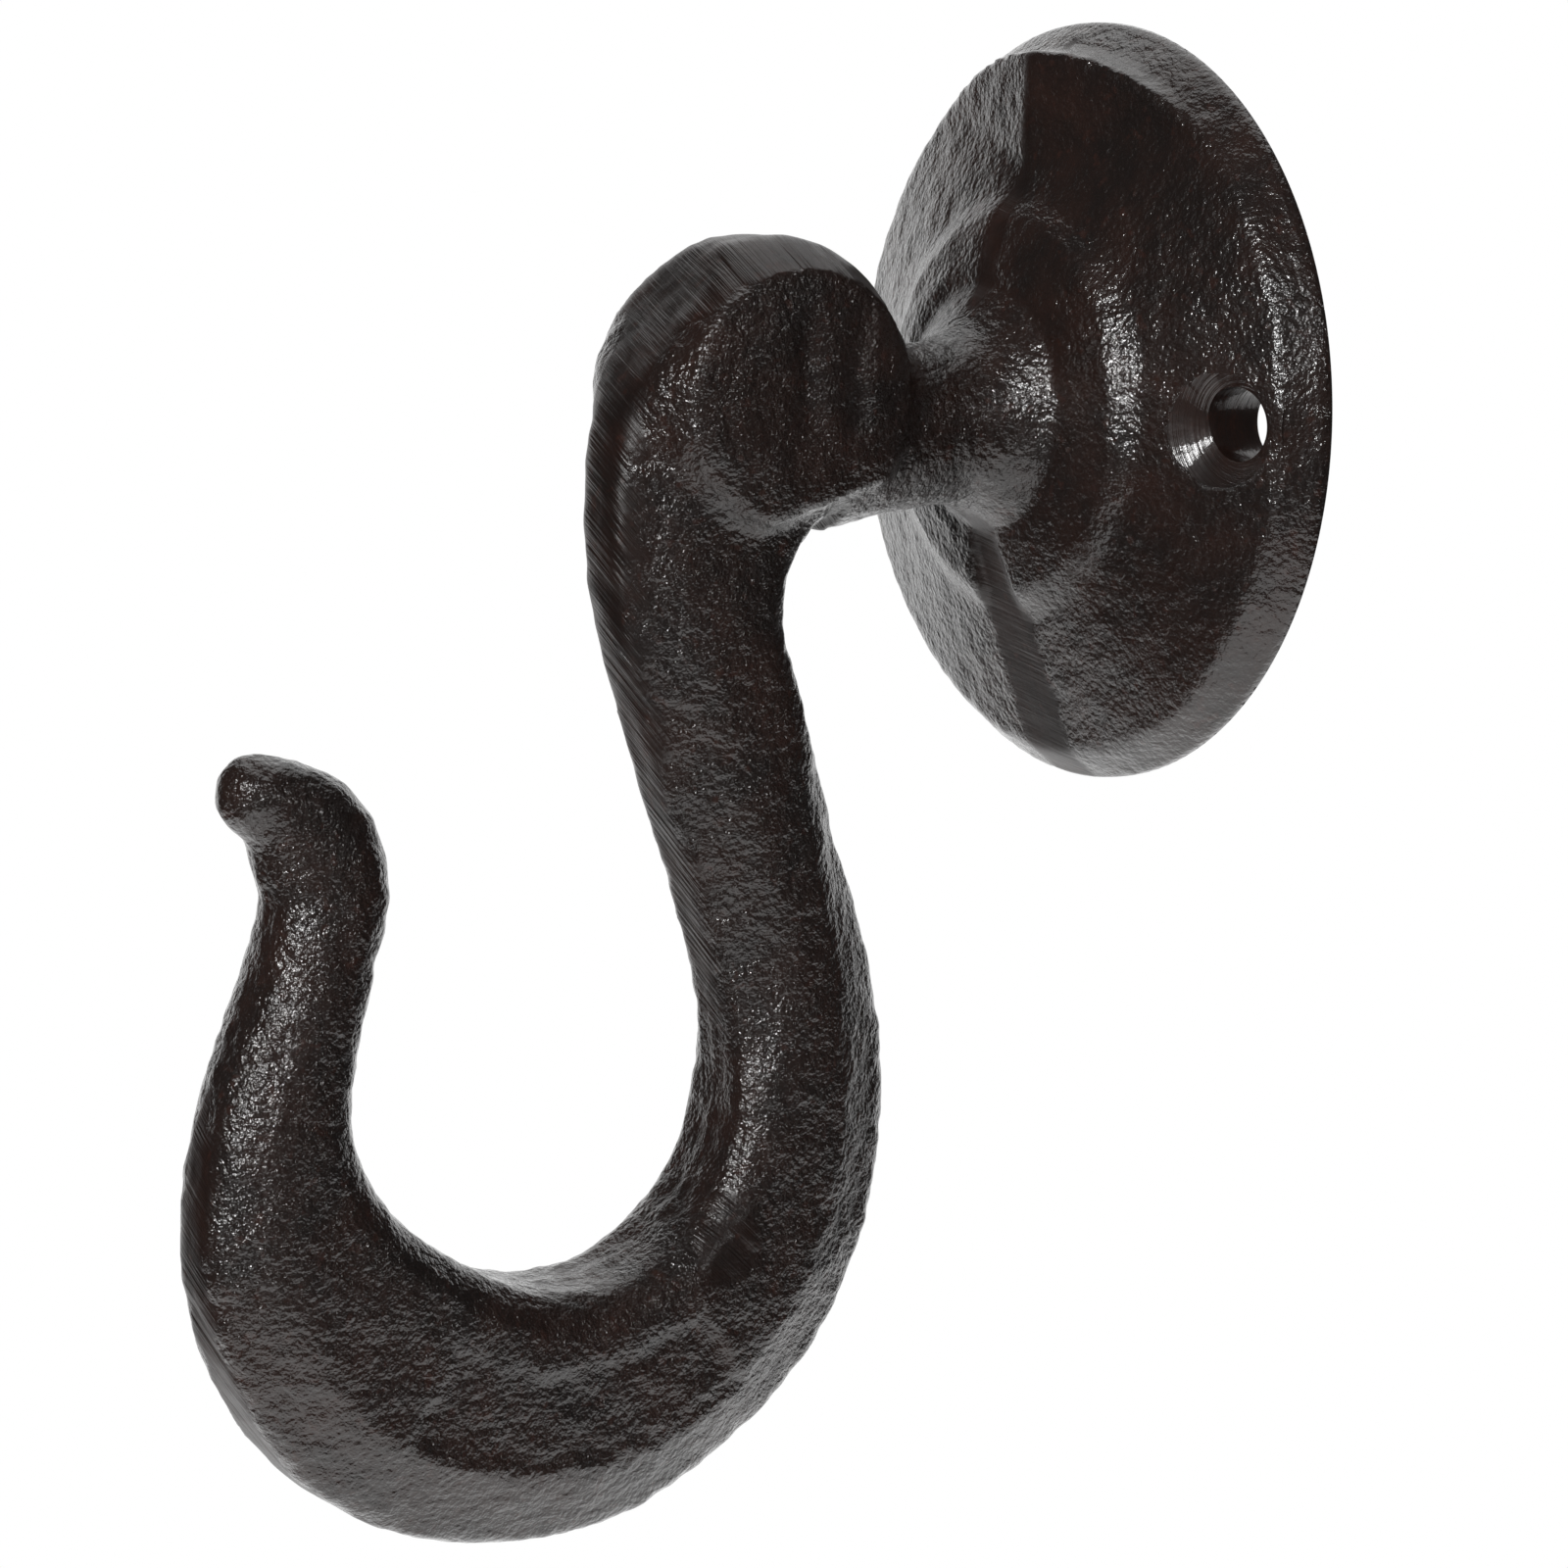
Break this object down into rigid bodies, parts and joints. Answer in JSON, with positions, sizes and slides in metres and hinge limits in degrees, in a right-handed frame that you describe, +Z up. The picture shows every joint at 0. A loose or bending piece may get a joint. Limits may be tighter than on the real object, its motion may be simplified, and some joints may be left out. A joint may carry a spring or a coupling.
{
  "type": "wall hook",
  "caption": "One-piece cast iron wall hook: a round screw-on plate, a short waisted stem and a J-shaped hook with a curled tip for hanging things.",
  "frame": {"origin": "centre of the flat back of the wall plate", "axes": "+Z up along the wall, +Y into the wall (the back of the plate lies on y = 0), the hook reaches towards -Y, +X along the line of the screw holes"},
  "size_m": [0.05, 0.0662, 0.0959],
  "materials": {
    "hook": "glossy dark brown-black paint over a rough sand-cast surface"
  },
  "bodies": {
    "root": {"hook": "hook"}
  },
  "joints": []
}
